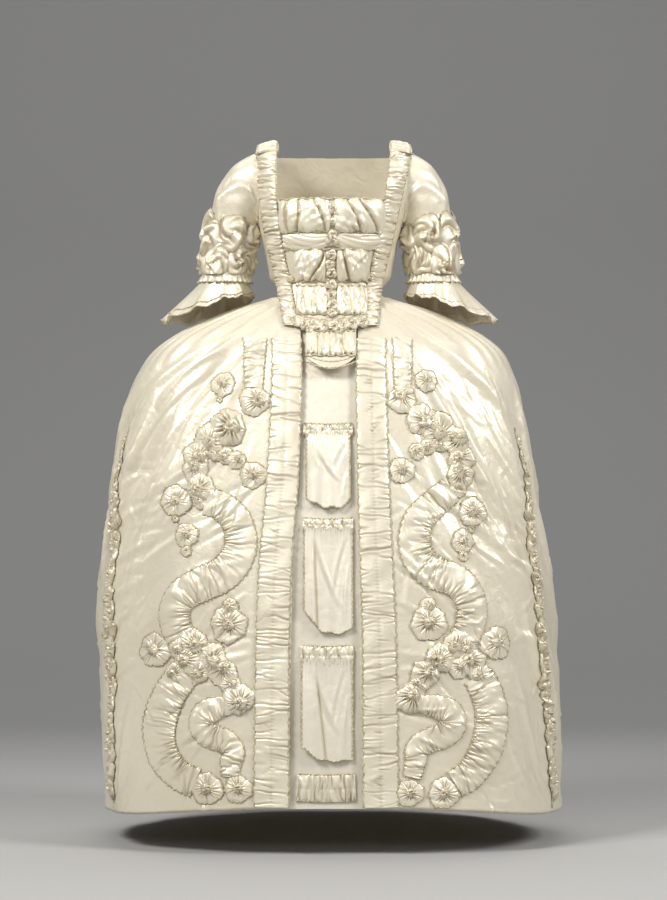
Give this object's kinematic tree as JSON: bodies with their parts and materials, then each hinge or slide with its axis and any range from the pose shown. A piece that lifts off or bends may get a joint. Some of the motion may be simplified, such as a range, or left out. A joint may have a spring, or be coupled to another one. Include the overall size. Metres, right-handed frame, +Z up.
{
  "type": "robe a la francaise with petticoat",
  "caption": "Open-fronted sack-back gown over a panniered petticoat, hollow as worn, with stomacher, elbow sleeves with winged cuffs, and serpentine gathered trimming.",
  "frame": {"origin": "middle of the waist opening, on the wearer's waistline", "axes": "+Z up, the front of the gown faces -Y, +X to the right of someone who looks at the front"},
  "size_m": [0.991, 0.8093, 1.449],
  "materials": {
    "silk_satin": "ivory silk satin, glossy",
    "petticoat_satin": "slightly whiter ivory silk satin, glossy",
    "gathered_trim": "gathered ivory satin edged with straw-coloured gimp"
  },
  "bodies": {
    "root": {"bodice_front_left": "silk_satin", "bodice_front_right": "silk_satin", "bodice_robing_left": "gathered_trim", "bodice_robing_right": "gathered_trim", "elbow_puff_left": "gathered_trim", "elbow_puff_right": "gathered_trim", "petticoat": "petticoat_satin", "petticoat_flounce_1": "petticoat_satin", "petticoat_flounce_2": "petticoat_satin", "petticoat_flounce_3": "petticoat_satin", "petticoat_heading_1": "gathered_trim", "petticoat_heading_2": "gathered_trim", "petticoat_heading_3": "gathered_trim", "petticoat_hem_band": "gathered_trim", "robe_back": "silk_satin", "robe_skirt_left": "silk_satin", "robe_skirt_right": "silk_satin", "rosette_left_1": "gathered_trim", "rosette_left_2": "gathered_trim", "rosette_left_3": "gathered_trim", "rosette_left_4": "gathered_trim", "rosette_left_5": "gathered_trim", "rosette_left_6": "gathered_trim", "rosette_right_1": "gathered_trim", "rosette_right_2": "gathered_trim", "rosette_right_3": "gathered_trim", "rosette_right_4": "gathered_trim", "rosette_right_5": "gathered_trim", "rosette_right_6": "gathered_trim", "sack_pleat_left": "silk_satin", "sack_pleat_right": "silk_satin", "side_trim_left": "gathered_trim", "side_trim_right": "gathered_trim", "skirt_branch_left": "gathered_trim", "skirt_branch_right": "gathered_trim", "skirt_c_band_left": "gathered_trim", "skirt_c_band_right": "gathered_trim", "skirt_link_left": "gathered_trim", "skirt_link_right": "gathered_trim", "skirt_puff_chain_left": "gathered_trim", "skirt_puff_chain_right": "gathered_trim", "skirt_robing_left": "gathered_trim", "skirt_robing_right": "gathered_trim", "skirt_s_band_left": "gathered_trim", "skirt_s_band_right": "gathered_trim", "skirt_scroll_left": "gathered_trim", "skirt_scroll_right": "gathered_trim", "skirt_top_band_left": "gathered_trim", "skirt_top_band_right": "gathered_trim", "sleeve_left": "silk_satin", "sleeve_right": "silk_satin", "stomacher": "silk_satin", "stomacher_gathers": "gathered_trim", "stomacher_puffs_bust": "gathered_trim", "stomacher_puffs_middle": "gathered_trim", "stomacher_puffs_neck": "gathered_trim", "stomacher_puffs_point": "gathered_trim", "stomacher_waist_trim": "gathered_trim", "winged_cuff_left": "silk_satin", "winged_cuff_right": "silk_satin"}
  },
  "joints": []
}
